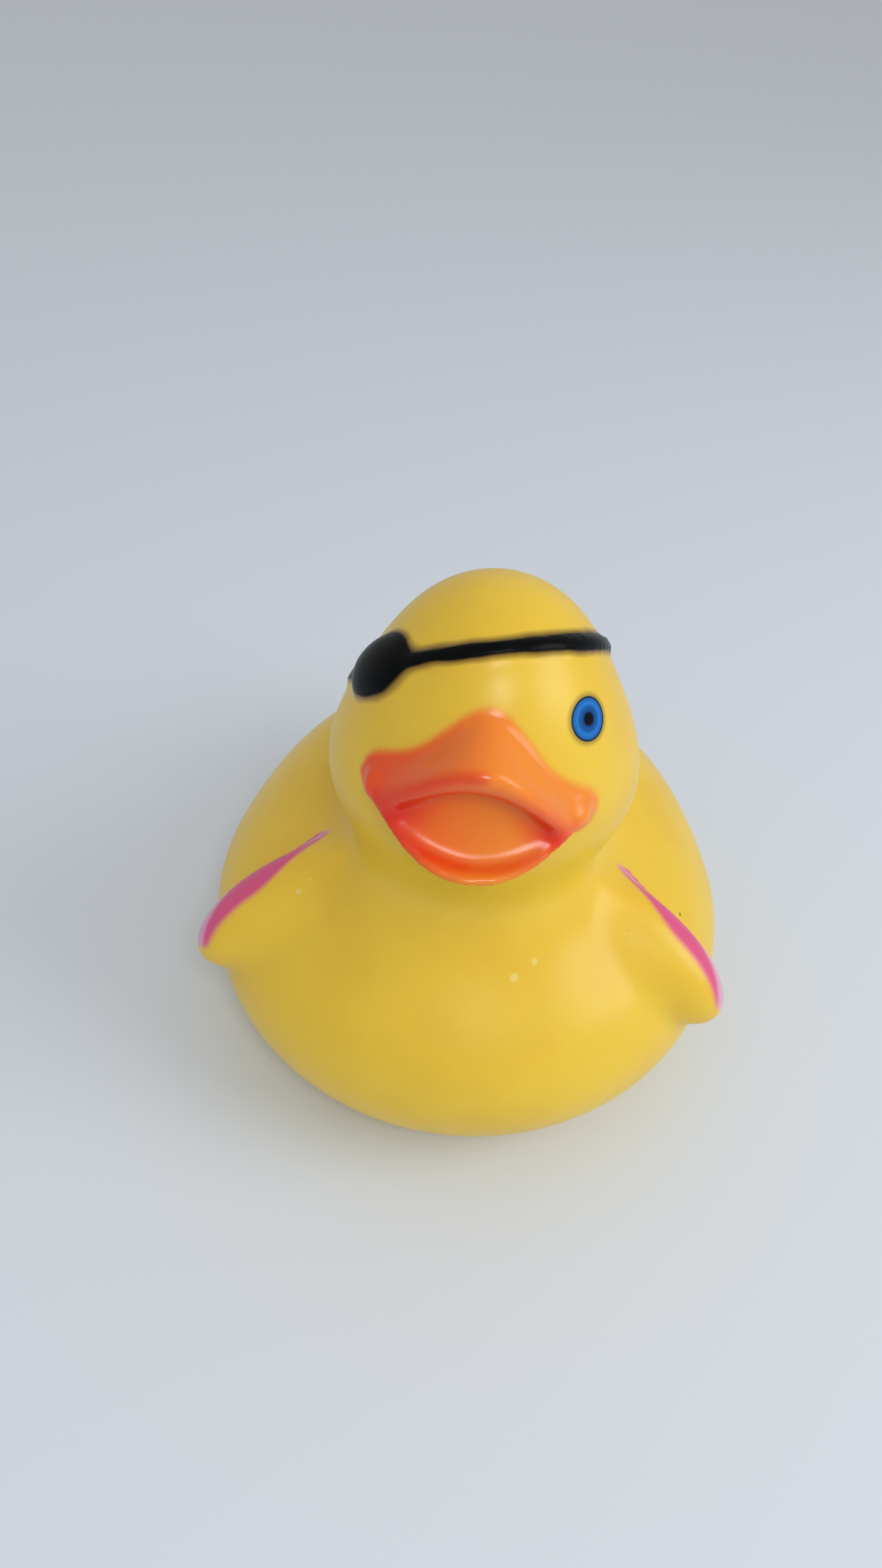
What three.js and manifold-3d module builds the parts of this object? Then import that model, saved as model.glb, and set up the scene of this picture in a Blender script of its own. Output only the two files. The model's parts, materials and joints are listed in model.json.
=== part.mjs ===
// A small bath duck: one hollow soft vinyl moulding that wears an eye patch,
// and the squeaker pressed into its base.
// Millimetres, +Z up, the face towards -Y. The duck stands on the ring around its base,
// on the plane z = 0, with the origin in the middle of its outline.
import * as THREE from 'three';
import { mergeVertices } from 'three/addons/utils/BufferGeometryUtils.js';
import Module from 'manifold-3d';

const wasm = await Module();
wasm.setup();

// Shell
const wall = 1.8;
const baseEdge = 2.5;
const recessWidth = 24;
const recessLength = 22;
const recessFacets = 48;

// Body: a round belly cut flat at the base, with a rump that rises into the tail
const bodyWidth = 50;
const bodyLength = 53.2;
const bodyTall = 29.4;
const bodyTop = 24.8;
const rumpWidth = 33.8;
const rumpLength = 26.8;
const rumpTall = 22.4;
const rumpTop = 26.4;
const rumpInset = 4;
const rumpBlend = 8;
const tailWidth = 18;
const tailLength = 25;
const tailThickness = 9;
const tailLift = 35;
const tailInset = 3.5;
const tailDrop = 5.5;
const tailBlend = 7;

// Head: a narrow crown over full cheeks
const headRise = 25.9;
const headForward = 7.35;
const crownWidth = 20.9;
const crownDepth = 22.7;
const crownTall = 25.3;
const cheekWidth = 25.1;
const cheekDepth = 21.8;
const cheekTall = 16.3;
const cheekDrop = 4.3;
const headBlend = 6;
const neckWidth = 19;
const neckBlend = 5;
const throatWidth = 11;

// Bill: an arched upper lip over a scooped lower bill, both meeting at the corners
const billHalfWidth = 7.8;
const cornerInset = 1.7;
const cornerRadius = 1.1;
const lipReach = 3.1;
const lipArch = 5.8;
const lipRadius = 1.2;
const upperThickness = 1.6;
const upperRise = 0.4;
const rimReach = 4.3;
const rimDip = 1.3;
const rimRadius = 1.1;
const lowerThickness = 1.9;
const chinDrop = 3.6;
const chinHalfWidth = 4.6;
const ridgeRadius = 1.8;
const ridgeRise = 6.8;
const rootInset = 3;
const tongueWidth = 11;
const tongueLength = 6.6;
const tongueThickness = 3.4;
const tongueTilt = 42;
const tongueReach = 1.2;
const tongueRise = 0.4;
const billBlend = 1.3;
const lipSteps = 12;

// Wings: lobes that reach out and forwards from the shoulders, flat at the back
const wingInset = 9.8;
const wingForward = 10.4;
const wingHeight = 17.3;
const wingLength = 20.6;
const wingWidth = 9.5;
const wingThickness = 10;
const wingBack = 2.6;
const wingLean = 64;
const wingTurn = 1.3;
const wingTip = 24.4;
const wingEdge = 3;
const wingBlend = 1.2;

// Eye patch on the right eye, and the strap that holds it, both raised on the head
const patchAcross = 8.2;
const patchTall = 7;
const patchThickness = 3.2;
const patchRise = 0.75;
const patchTurn = 70;
const patchLift = 32;
const patchFacets = 24;
const strapWidth = 1.35;
const strapRise = 0.35;
const strapDepth = 0.7;
const strapSlope = 37;
const strapTilt = 17;
const strapAbove = 0.6;
const strapSteps = 48;
const strapSides = 8;

// Squeaker: a soft plug with a groove that grips the floor of the duck, bored for the air
const squeakerHole = 8;
const squeakerBore = 2.4;
const flangeLip = 1.3;
const flangeThickness = 0.6;
const flangeInset = 0.3;
const cupLip = 1.2;
const cupHeight = 5.2;
const cupWall = 1.2;
const cupLid = 1.1;
const squeakerClearance = 0.2;
const squeakerFacets = 40;

// Shaping grid
const skinCell = 2.3;
const billCell = 1.15;
const cavityCell = 3.4;

const deg = THREE.MathUtils.degToRad;
const ease = (t) => t * t * (3 - 2 * t);

// Fields: each takes a point and gives the distance to a surface, negative inside
function ellipsoid(centre, size, turn = new THREE.Quaternion()) {
  const radii = size.map((s) => s / 2);
  const back = turn.clone().invert();
  const q = new THREE.Vector3();
  return (x, y, z) => {
    q.set(x - centre[0], y - centre[1], z - centre[2]).applyQuaternion(back);
    const near = Math.hypot(q.x / radii[0], q.y / radii[1], q.z / radii[2]);
    const slope = Math.hypot(q.x / radii[0] ** 2, q.y / radii[1] ** 2, q.z / radii[2] ** 2);
    return slope < 1e-9 ? -Math.min(...radii) : (near * (near - 1)) / slope;
  };
}

function tube(points, radii) {
  const spans = points.slice(1).map((end, i) => {
    const start = points[i];
    const way = new THREE.Vector3().subVectors(end, start);
    return { start, way, length: way.lengthSq(), from: radii[i], to: radii[i + 1] };
  });
  const q = new THREE.Vector3();
  return (x, y, z) => {
    let nearest = Infinity;
    for (const { start, way, length, from, to } of spans) {
      q.set(x - start.x, y - start.y, z - start.z);
      const t = Math.min(Math.max(q.dot(way) / length, 0), 1);
      nearest = Math.min(nearest, q.addScaledVector(way, -t).length() - from - t * (to - from));
    }
    return nearest;
  };
}

function sheet(front, back, radius) {
  const pieces = front.slice(1).flatMap((end, i) => [
    new THREE.Triangle(front[i], end, back[i]),
    new THREE.Triangle(end, back[i + 1], back[i]),
  ]);
  const q = new THREE.Vector3();
  const foot = new THREE.Vector3();
  return (x, y, z) => {
    q.set(x, y, z);
    const far = pieces.map((piece) => piece.closestPointToPoint(q, foot).distanceToSquared(q));
    return Math.sqrt(Math.min(...far)) - radius;
  };
}

function blend(a, b, radius) {
  return (x, y, z) => {
    const da = a(x, y, z);
    const db = b(x, y, z);
    const near = Math.max(radius - Math.abs(da - db), 0);
    return Math.min(da, db) - (near * near) / (4 * radius);
  };
}

function both(a, b, radius) {
  const joined = blend((...p) => -a(...p), (...p) => -b(...p), radius);
  return (x, y, z) => -joined(x, y, z);
}

const mirrored = (field) => (x, y, z) => field(Math.abs(x), y, z);
const above = (height) => (x, y, z) => height - z;
const turned = (...angles) => new THREE.Quaternion().setFromEuler(new THREE.Euler(...angles.map(deg), 'ZYX'));

// Belly, rump and tail
const bodyMiddle = bodyTop - bodyTall / 2;
const bodyBack = bodyLength / 2;
const rumpCentre = [0, bodyBack - rumpInset - rumpLength / 2, rumpTop - rumpTall / 2];
const tailRoot = [0, bodyBack - tailInset, rumpTop - tailDrop];
const belly = ellipsoid([0, 0, bodyMiddle], [bodyWidth, bodyLength, bodyTall]);
const rump = ellipsoid(rumpCentre, [rumpWidth, rumpLength, rumpTall]);
const tail = ellipsoid(tailRoot, [tailWidth, tailLength, tailThickness], turned(tailLift, 0, 0));
const trunk = blend(belly, rump, rumpBlend);

// Head
const headTop = bodyTop + headRise;
const crownCentre = [0, -headForward, headTop - crownTall / 2];
const cheekCentre = [0, -headForward, crownCentre[2] - cheekDrop];
const crown = ellipsoid(crownCentre, [crownWidth, crownDepth, crownTall]);
const cheeks = ellipsoid(cheekCentre, [cheekWidth, cheekDepth, cheekTall]);
const head = blend(crown, cheeks, headBlend);
const faceFront = crownCentre[1] - crownDepth / 2;

// Bill: points from one corner to the other along the upper lip, the lower rim, and the roots behind them
const cornerHeight = crownCentre[2];
const cornerBack = faceFront + cornerInset;
const across = (t) => Math.sin((Math.PI * t) / 2);
const out = (t) => Math.cos((Math.PI * t) / 2);
const arch = (t) => 1 - ease(Math.abs(t));
const stations = Array.from({ length: lipSteps + 1 }, (_, i) => (2 * i) / lipSteps - 1);
const curve = (x, y, z) => stations.map((t) => new THREE.Vector3(x(t), y(t), z(t)));
const lipCurve = curve(
  (t) => billHalfWidth * across(t),
  (t) => cornerBack - (lipReach + cornerInset) * out(t),
  (t) => cornerHeight + lipArch * arch(t),
);
const upperRoot = curve(
  (t) => billHalfWidth * across(t),
  () => faceFront + rootInset,
  (t) => cornerHeight + lipArch * arch(t) + upperRise,
);
const rimCurve = curve(
  (t) => billHalfWidth * across(t),
  (t) => cornerBack - (rimReach + cornerInset) * out(t),
  (t) => cornerHeight - rimDip * out(t),
);
const lowerRoot = curve(
  (t) => chinHalfWidth * across(t),
  () => faceFront + rootInset,
  (t) => cornerHeight - chinDrop * out(t),
);
const radiusAlong = (radius) => stations.map((t) => radius + (cornerRadius - radius) * t * t);
const lip = tube(lipCurve, radiusAlong(lipRadius));
const rim = tube(rimCurve, radiusAlong(rimRadius));
const lipMiddle = new THREE.Vector3(0, faceFront - lipReach, cornerHeight + lipArch);
const ridgeRoot = new THREE.Vector3(0, faceFront + rootInset, cornerHeight + ridgeRise);
const ridge = tube([ridgeRoot, lipMiddle], [ridgeRadius, lipRadius]);
const tongueCentre = [0, faceFront - tongueReach, cornerHeight + tongueRise];
const tongueSize = [tongueWidth, tongueLength, tongueThickness];
const tongue = ellipsoid(tongueCentre, tongueSize, turned(tongueTilt, 0, 0));
const upperSheet = sheet(lipCurve, upperRoot, upperThickness / 2);
const lowerSheet = sheet(rimCurve, lowerRoot, lowerThickness / 2);
const upperBill = blend(blend(lip, upperSheet, billBlend), ridge, billBlend);
const lowerBill = blend(blend(rim, lowerSheet, billBlend / 2), tongue, billBlend / 2);

// Wings, on both sides by mirroring the left one
const wingMiddle = new THREE.Vector3(bodyWidth / 2 - wingInset, -wingForward, wingHeight);
const wingAngle = turned(-wingTip, 0, 0)
  .premultiply(turned(0, -wingLean, 0))
  .premultiply(turned(0, 0, wingTurn));
const wingBehind = new THREE.Vector3(0, 1, 0).applyQuaternion(wingAngle);
const wingLobe = ellipsoid(wingMiddle.toArray(), [wingWidth, wingThickness, wingLength], wingAngle);
const wingFace = (x, y, z) => wingBehind.dot(new THREE.Vector3(x, y, z).sub(wingMiddle)) - wingBack;
const wing = mirrored(both(wingLobe, wingFace, wingEdge));

// The whole skin, and the hollow inside all of it but the bill, the wings and the tail. The skin runs on
// a little below the plane z = 0, where it is cut off flat.
const neckTop = new THREE.Vector3(...cheekCentre);
const neckFoot = new THREE.Vector3(0, -headForward, bodyMiddle);
const neck = tube([neckTop, neckFoot], [neckWidth / 2, neckWidth / 2]);
const headOnTrunk = blend(blend(trunk, neck, neckBlend), head, neckBlend);
const trunkAndHead = blend(headOnTrunk, tail, tailBlend);
const withUpperBill = blend(trunkAndHead, upperBill, billBlend);
const withBill = blend(withUpperBill, lowerBill, billBlend / 2);
const withWings = blend(withBill, wing, wingBlend);
const skinField = both(withWings, above(-baseEdge / 8), baseEdge);
const recessDepth = flangeInset + flangeThickness + squeakerClearance;
const floorTop = recessDepth + wall;
const inside = (x, y, z) => headOnTrunk(x, y, z) + wall;
const throat = tube([neckTop, neckFoot], [throatWidth / 2, throatWidth / 2]);
const hollowField = both(blend(inside, throat, neckBlend), above(floorTop), baseEdge);

// Grid lines along one axis, closer together over one stretch
function gridLines(low, high, cell, fineLow = high, fineHigh = high, fineCell = cell) {
  const lines = [low];
  while (lines[lines.length - 1] < high) {
    const last = lines[lines.length - 1];
    lines.push(last + (last > fineLow - cell && last < fineHigh ? fineCell : cell));
  }
  return lines;
}

// The twelve edges of a cell: four along each axis, each from its lower corner to its upper one
const cellEdges = [0, 1, 2].flatMap((axis) =>
  [0, 1, 2, 3].map((m) => {
    const from = ((m & 1) << (axis + 1) % 3) | ((m >> 1) << (axis + 2) % 3);
    return [from, from | (1 << axis)];
  }),
);

// The four edges around each of its six faces
const cellFaces = [1, 2, 4].flatMap((bit) =>
  [0, bit].map((side) => {
    const onFace = (edge) => cellEdges[edge].every((c) => (c & bit) === side);
    return [...cellEdges.keys()].filter(onFace);
  }),
);

// The crossed edges of a cell, in one list for each sheet of the surface that passes through it
function sheetsIn(v) {
  const isCrossed = (edge) => v[cellEdges[edge][0]] < 0 !== v[cellEdges[edge][1]] < 0;
  const sheetOf = new Map(cellEdges.map((ends, edge) => [edge, [edge]]).filter(([edge]) => isCrossed(edge)));
  for (const face of cellFaces) {
    const crossed = face.filter(isCrossed);
    for (const p of crossed)
      for (const q of crossed) {
        const shared = cellEdges[p].find((c) => cellEdges[q].includes(c) && v[c] < 0);
        if (sheetOf.get(p) === sheetOf.get(q) || (crossed.length === 4 && shared === undefined)) continue;
        const joined = [...sheetOf.get(p), ...sheetOf.get(q)];
        for (const edge of joined) sheetOf.set(edge, joined);
      }
  }
  return new Set(sheetOf.values());
}

// A closed skin over a field: one vertex for each sheet in each cell, drawn onto the surface
function skin(field, lines) {
  const n = lines.map((l) => l.length);
  const at = (i, j, k) => (k * n[1] + j) * n[0] + i;
  const value = new Float64Array(n[0] * n[1] * n[2]);
  for (let k = 0; k < n[2]; k++)
    for (let j = 0; j < n[1]; j++)
      for (let i = 0; i < n[0]; i++) value[at(i, j, k)] = field(lines[0][i], lines[1][j], lines[2][k]);
  const corners = [0, 1, 2, 3, 4, 5, 6, 7].map((c) => [c & 1, (c >> 1) & 1, (c >> 2) & 1]);
  const position = [];
  const vertexOf = new Int32Array(12 * value.length).fill(-1);
  const point = new THREE.Vector3();
  const slope = new THREE.Vector3();
  for (let k = 0; k < n[2] - 1; k++)
    for (let j = 0; j < n[1] - 1; j++)
      for (let i = 0; i < n[0] - 1; i++) {
        const v = corners.map(([a, b, c]) => value[at(i + a, j + b, k + c)]);
        const low = [lines[0][i], lines[1][j], lines[2][k]];
        const size = [lines[0][i + 1] - low[0], lines[1][j + 1] - low[1], lines[2][k + 1] - low[2]];
        const reach = Math.min(...size) / 3;
        const e = reach / 10;
        for (const sheetEdges of sheetsIn(v)) {
          const mean = [0, 0, 0];
          for (const edge of sheetEdges) {
            const [a, b] = cellEdges[edge];
            const t = v[a] / (v[a] - v[b]);
            for (let c = 0; c < 3; c++) mean[c] += corners[a][c] + t * (corners[b][c] - corners[a][c]);
            vertexOf[12 * at(i, j, k) + edge] = position.length / 3;
          }
          point.set(...mean.map((m, c) => low[c] + (size[c] * m) / sheetEdges.length));
          for (let pass = 0; pass < 3; pass++) {
            const d = field(point.x, point.y, point.z);
            slope.set(
              field(point.x + e, point.y, point.z) - d,
              field(point.x, point.y + e, point.z) - d,
              field(point.x, point.y, point.z + e) - d,
            );
            slope.divideScalar(e);
            const step = d / Math.max(slope.lengthSq(), 0.25);
            point.addScaledVector(slope, -Math.min(Math.max(step, -reach), reach));
          }
          position.push(point.x, point.y, point.z);
        }
      }
  const index = [];
  const steps = [[1, 0, 0], [0, 1, 0], [0, 0, 1]];
  for (let k = 1; k < n[2] - 1; k++)
    for (let j = 1; j < n[1] - 1; j++)
      for (let i = 1; i < n[0] - 1; i++)
        steps.forEach((step, axis) => {
          const here = value[at(i, j, k)] < 0;
          const there = value[at(i + step[0], j + step[1], k + step[2])] < 0;
          if (here === there) return;
          const u = steps[(axis + 1) % 3];
          const w = steps[(axis + 2) % 3];
          const cell = (a, b) => {
            const from = at(i - a * u[0] - b * w[0], j - a * u[1] - b * w[1], k - a * u[2] - b * w[2]);
            return vertexOf[12 * from + 4 * axis + a + 2 * b];
          };
          const ring = [cell(1, 1), cell(0, 1), cell(0, 0), cell(1, 0)];
          if (!here) ring.reverse();
          index.push(ring[0], ring[1], ring[2], ring[0], ring[2], ring[3]);
        });
  return new THREE.BufferGeometry()
    .setAttribute('position', new THREE.Float32BufferAttribute(position, 3))
    .setIndex(index);
}

function solid(geometry) {
  const bare = geometry.clone();
  bare.deleteAttribute('normal');
  bare.deleteAttribute('uv');
  const merged = mergeVertices(bare, 1e-4);
  return new wasm.Manifold(
    new wasm.Mesh({
      numProp: 3,
      vertProperties: new Float32Array(merged.attributes.position.array),
      triVerts: new Uint32Array(merged.index.array),
    }),
  );
}

function geometryOf(body) {
  const { numProp, vertProperties, triVerts } = body.getMesh();
  const position = [];
  for (let i = 0; i < vertProperties.length; i += numProp) position.push(...vertProperties.slice(i, i + 3));
  const geometry = new THREE.BufferGeometry()
    .setAttribute('position', new THREE.Float32BufferAttribute(position, 3))
    .setIndex(Array.from(triVerts));
  geometry.computeVertexNormals();
  return geometry;
}

// Where a ray from a point inside meets a surface
function surfaceAlong(field, from, way) {
  let near = 0;
  let far = headRise;
  for (let i = 0; i < 40; i++) {
    const t = (near + far) / 2;
    if (field(from.x + t * way.x, from.y + t * way.y, from.z + t * way.z) < 0) near = t;
    else far = t;
  }
  return from.clone().addScaledVector(way, near);
}

// Eye patch: an oval button sunk into the side of the head until only its dome stands proud,
// with its long way along the strap
const headCentre = new THREE.Vector3(...crownCentre);
const strapNormal = new THREE.Vector3(0, 0, 1)
  .applyEuler(new THREE.Euler(-deg(strapSlope), -deg(strapTilt), 0, 'YXZ'));
const patchWay = new THREE.Vector3(0, -1, 0)
  .applyEuler(new THREE.Euler(-deg(patchLift), 0, -deg(patchTurn), 'ZYX'));
const patchSpot = surfaceAlong(head, headCentre, patchWay);
const patchSide = patchWay.clone().cross(strapNormal).normalize();
const patchUp = patchSide.clone().cross(patchWay);
const patch = new THREE.SphereGeometry(1, patchFacets, patchFacets / 2)
  .scale(patchAcross / 2, patchThickness / 2, patchTall / 2)
  .applyMatrix4(new THREE.Matrix4().makeBasis(patchSide, patchWay, patchUp))
  .translate(...patchSpot.clone().addScaledVector(patchWay, patchRise - patchThickness / 2).toArray());

// Strap: a flat band around the head in the sloping plane through the patch
const strapCentre = headCentre.clone();
strapCentre.addScaledVector(strapNormal, patchSpot.clone().sub(headCentre).dot(strapNormal) + strapAbove);
const strapAcross = new THREE.Vector3(1, 0, 0).cross(strapNormal).normalize();
const strapAlong = strapAcross.clone().cross(strapNormal);
const strapPosition = [];
const strapIndex = [];
for (let i = 0; i < strapSteps; i++) {
  const angle = (2 * Math.PI * i) / strapSteps;
  const way = strapAcross.clone().multiplyScalar(Math.cos(angle));
  way.addScaledVector(strapAlong, Math.sin(angle));
  const spot = surfaceAlong(head, strapCentre, way);
  for (let j = 0; j < strapSides; j++) {
    const side = (2 * Math.PI * (j + 0.5)) / strapSides;
    const lift = Math.sin(side) > 0 ? strapRise : strapDepth;
    const p = spot.clone().addScaledVector(way, lift * Math.sin(side));
    p.addScaledVector(strapNormal, (strapWidth / 2) * Math.cos(side));
    strapPosition.push(p.x, p.y, p.z);
    const next = ((i + 1) % strapSteps) * strapSides;
    const turn = (j + 1) % strapSides;
    strapIndex.push(i * strapSides + j, next + j, next + turn);
    strapIndex.push(i * strapSides + j, next + turn, i * strapSides + turn);
  }
}
const strap = new THREE.BufferGeometry()
  .setAttribute('position', new THREE.Float32BufferAttribute(strapPosition, 3))
  .setIndex(strapIndex);

// The duck as one solid
const billTop = cornerHeight + ridgeRise + ridgeRadius;
const tailEnd = tailRoot[1] + tailLength / 2;
const sideReach = bodyWidth / 2 + wingWidth;
const frontReach = bodyBack + 2 * skinCell;
const billSide = billHalfWidth + cornerRadius;
const billFront = faceFront - rimReach - skinCell;
const billBottom = cornerHeight - rimDip - 2 * rimRadius;
const skinLines = [
  gridLines(-sideReach, sideReach, skinCell, -billSide, billSide, billCell),
  gridLines(-frontReach, tailEnd + 2 * skinCell, skinCell, billFront, faceFront + rootInset, billCell),
  gridLines(-2 * skinCell, headTop + 2 * skinCell, skinCell, billBottom, billTop, billCell),
];
const hollowLines = [
  gridLines(-bodyWidth / 2 - cavityCell, bodyWidth / 2 + cavityCell, cavityCell),
  gridLines(-bodyBack - cavityCell, tailEnd + cavityCell, cavityCell),
  gridLines(-2 * cavityCell, headTop + cavityCell, cavityCell),
];
const roomSize = 4 * headTop;
const upperRoom = new THREE.BoxGeometry(roomSize, roomSize, roomSize).translate(0, 0, roomSize / 2);
const recess = new THREE.CylinderGeometry(1, 1, 2 * recessDepth, recessFacets)
  .rotateX(Math.PI / 2)
  .scale(recessWidth / 2, recessLength / 2, 1);
const hole = new THREE.CylinderGeometry(squeakerHole / 2, squeakerHole / 2, 4 * floorTop, squeakerFacets)
  .rotateX(Math.PI / 2);
const outer = solid(skin(skinField, skinLines)).add(solid(patch)).add(solid(strap));
const duck = outer
  .intersect(solid(upperRoom))
  .subtract(solid(skin(hollowField, hollowLines)))
  .subtract(solid(recess))
  .subtract(solid(hole));

// Squeaker: turned about the vertical through the hole, seated in the recess and gripping the floor
const flangeTop = recessDepth - squeakerClearance;
const gripRadius = squeakerHole / 2 - squeakerClearance;
const cupBottom = floorTop + squeakerClearance;
const cupTop = cupBottom + cupHeight;
const flangeRadius = squeakerHole / 2 + flangeLip;
const cupRadius = squeakerHole / 2 + cupLip;
const cupInside = cupRadius - cupWall;
const boreRadius = squeakerBore / 2;
const profile = [
  [boreRadius, flangeInset],
  [flangeRadius, flangeInset],
  [flangeRadius, flangeTop],
  [gripRadius, flangeTop],
  [gripRadius, cupBottom],
  [cupRadius, cupBottom],
  [cupRadius, cupBottom + cupHeight / 2],
  [gripRadius, cupTop],
  [boreRadius, cupTop],
  [boreRadius, cupTop - cupLid],
  [cupInside, cupTop - cupLid],
  [cupInside, cupBottom + cupLid],
  [boreRadius, cupBottom + cupLid],
  [boreRadius, flangeInset],
].map(([r, z]) => new THREE.Vector2(r, z));
const squeaker = new THREE.LatheGeometry(profile, squeakerFacets).rotateX(Math.PI / 2);

const duckMaterial = new THREE.MeshStandardMaterial({ color: 0xf0c93a, roughness: 0.42, metalness: 0 });
const squeakerMaterial = new THREE.MeshStandardMaterial({ color: 0xe9e6dc, roughness: 0.5, metalness: 0 });

const group = new THREE.Group();
const duckMesh = new THREE.Mesh(geometryOf(duck), duckMaterial);
duckMesh.name = 'duck_body';
const squeakerMesh = new THREE.Mesh(squeaker, squeakerMaterial);
squeakerMesh.name = 'squeaker';
const placed = new THREE.Group();
placed.add(duckMesh, squeakerMesh);
const box = new THREE.Box3().setFromObject(duckMesh);
placed.position.y = -(box.min.y + box.max.y) / 2;
group.add(placed);
export default group;
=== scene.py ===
# A small bath duck of soft vinyl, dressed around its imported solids. One smooth painted skin stands for the
# faceted body, with the bill, the wings, the eye patch and its strap moulded on. The squeaker keeps its own
# solid. Sizes are in millimetres, +Z is up and the duck faces -Y. MM turns them into Blender's metres.
import json
import math
import bpy
import numpy as np
from mathutils import Euler, Matrix, Vector
from mathutils.bvhtree import BVHTree

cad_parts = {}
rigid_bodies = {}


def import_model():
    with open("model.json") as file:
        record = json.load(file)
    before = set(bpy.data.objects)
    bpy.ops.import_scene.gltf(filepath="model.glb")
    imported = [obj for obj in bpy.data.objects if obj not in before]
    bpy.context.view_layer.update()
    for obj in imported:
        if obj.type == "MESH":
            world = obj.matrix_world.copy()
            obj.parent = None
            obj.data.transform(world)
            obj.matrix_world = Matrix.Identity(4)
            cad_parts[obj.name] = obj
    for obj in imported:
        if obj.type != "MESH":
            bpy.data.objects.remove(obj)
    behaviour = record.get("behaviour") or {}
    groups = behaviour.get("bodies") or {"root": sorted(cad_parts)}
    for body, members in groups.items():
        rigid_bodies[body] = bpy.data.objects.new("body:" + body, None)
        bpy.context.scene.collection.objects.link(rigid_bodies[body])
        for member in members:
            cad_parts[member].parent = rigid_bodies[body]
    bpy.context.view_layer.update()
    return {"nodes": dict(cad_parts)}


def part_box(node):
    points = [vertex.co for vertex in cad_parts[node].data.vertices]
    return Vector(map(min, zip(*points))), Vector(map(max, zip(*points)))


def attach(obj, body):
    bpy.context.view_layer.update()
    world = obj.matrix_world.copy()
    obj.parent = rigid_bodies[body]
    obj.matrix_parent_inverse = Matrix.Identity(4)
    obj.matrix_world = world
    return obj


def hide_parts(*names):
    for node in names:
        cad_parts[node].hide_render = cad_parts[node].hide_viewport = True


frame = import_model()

MM = 0.001
body_low, body_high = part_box("duck_body")
BREAST_FRONT = body_low.y / MM
HEAD_TOP = body_high.z / MM

# Body
BODY_SIZE = (50, 53.2, 29.4)
BODY_TOP = 24.8
RUMP_SIZE = (33.8, 26.8, 22.4)
RUMP_TOP = 26.4
RUMP_INSET = 4
RUMP_BLEND = 8
TAIL_SIZE = (18, 25, 9)
TAIL_LIFT = 35
TAIL_INSET = 3.6
TAIL_DROP = 5.5
TAIL_BLEND = 7
BASE_EDGE = 2.5
BASE_DROP = BASE_EDGE / 8

# Head
HEAD_FORWARD = 7.35
CROWN_SIZE = (20.9, 22.7, 25.3)
CHEEK_SIZE = (25.1, 21.8, 16.3)
CHEEK_DROP = 4.3
HEAD_BLEND = 6
NECK_WIDTH = 20
NECK_BLEND = 7
NAPE_BLEND = 3

# Bill. A span is the share of its half width over which an arch comes down
BILL_HALF_WIDTH = 9
CORNER_INSET = 1.2
CORNER_BACK = 1.9
CORNER_DROP = 0.4
CORNER_RADIUS = 1.35
CORNER_RISE = 0.5
ROOT_INSET = 3.5
ROOT_ARCH = 8.4
ROOT_PEAK = 0.45
ROOT_STEEPNESS = 1.6
LIP_REACH = 3.6
LIP_ARCH = 7
LIP_SPAN = 0.88
LIP_OVERHANG = 0.7
LIP_EDGE = 0.8
LIP_EDGE_ANGLE = 35
MOUTH_ARCH = 4.4
MOUTH_SPAN = 0.72
RIM_REACH = 5.2
RIM_DIP = 1.6
RIM_SPAN = 0.9
RIM_WIDTH = 0.8
RIM_DROP = 0.6
RIM_INSET = 1.8
FLOOR_CURVE = 1.7
FLOOR_ROWS = 5
FLOOR_RISE = 4.6
SPOON = 1
LOWER_THICKNESS = 1.3
CHIN_DROP = 4.4
CHIN_SHARE = 0.62
DISH_SHARE = 0.86
CREASE_SHARE = 0.8
PLAN_FULLNESS = 2.2
BILL_ROLL = 2.2
BILL_SINK = 0.45

# Wings
WING_INSET = 9.8
WING_FORWARD = 10.4
WING_HEIGHT = 17.3
WING_SIZE = (9.5, 8.2, 20.6)
WING_BACK = 2.3
WING_TURN = (-24.4, -64, 1.3)
WING_EDGE = 1.4
WING_BLEND = 1
SHOULDER_BLEND = 2.2
SHOULDER_LOW = 12
SHOULDER_HIGH = 19
SHOULDER_FRONT = 3
SHOULDER_START = 0.6

# Eye patch and strap
PATCH_SIZE = (8.8, 3.2, 6.1)
PATCH_RISE = 0.9
PATCH_TURN = 71.5
PATCH_LIFT = 34
STRAP_WIDTH = 1.05
STRAP_RISE = 0.5
STRAP_SLOPE = 35.5
STRAP_TILT = 15.8

# Base
WALL = 1.8
SQUEAKER_HOLE = 8
RECESS_DEPTH = 1.1
RECESS_WIDTH = 24
RECESS_LENGTH = 22

# How finely the clay is worked
ROUGH_CELL = 0.8
SKIN_CELL = 0.36
BALL_STEPS = 48
BILL_STEPS = 28
LINE_STEPS = 4 * BILL_STEPS
STRAP_STEPS = 72
RECESS_STEPS = 96
TRUNK_ROUNDS = 3
TRUNK_SMOOTHING = 3
BILL_SMOOTHING = 12
BILL_SEAM_SMOOTHING = 10
BILL_SEAM_REACH = 2
SKIN_SMOOTHING = 3
EXACT_CUT = 0.001
SHARP_ANGLE = 50

# Paint on the bill: how far from it the orange ends, and how strong and wide each red line of painted shade
# is
BILL_PAINT_REACH = 1.15
BILL_PAINT_SOFTNESS = 1.2
BILL_PAINT_EDGE = (0.1, 0.9)
# Painted shade: across the bill the orange turns redder towards the duck's right, away from the window lamp
BILL_PAINTED_SHADE_EDGE = (-9.0, 3.0)
# The red lines: painted shade, with redder paint, in the mouth groove, the lip's crease and the dish's
# trough
MOUTH_SHADE_RED = (1.0, 2.6)
MOUTH_LINE_BACK = 0.2
MOUTH_LINE_BELOW = 0.3
CREASE_SHADE_RED = (0.7, 1.2)
CREASE_LINE_BACK = 0.3
CREASE_LINE_BELOW = 0.5
DISH_SHADE_RED_RIGHT = (0.8, 1.3)
DISH_SHADE_RED_LEFT = (0.6, 1.3)

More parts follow.
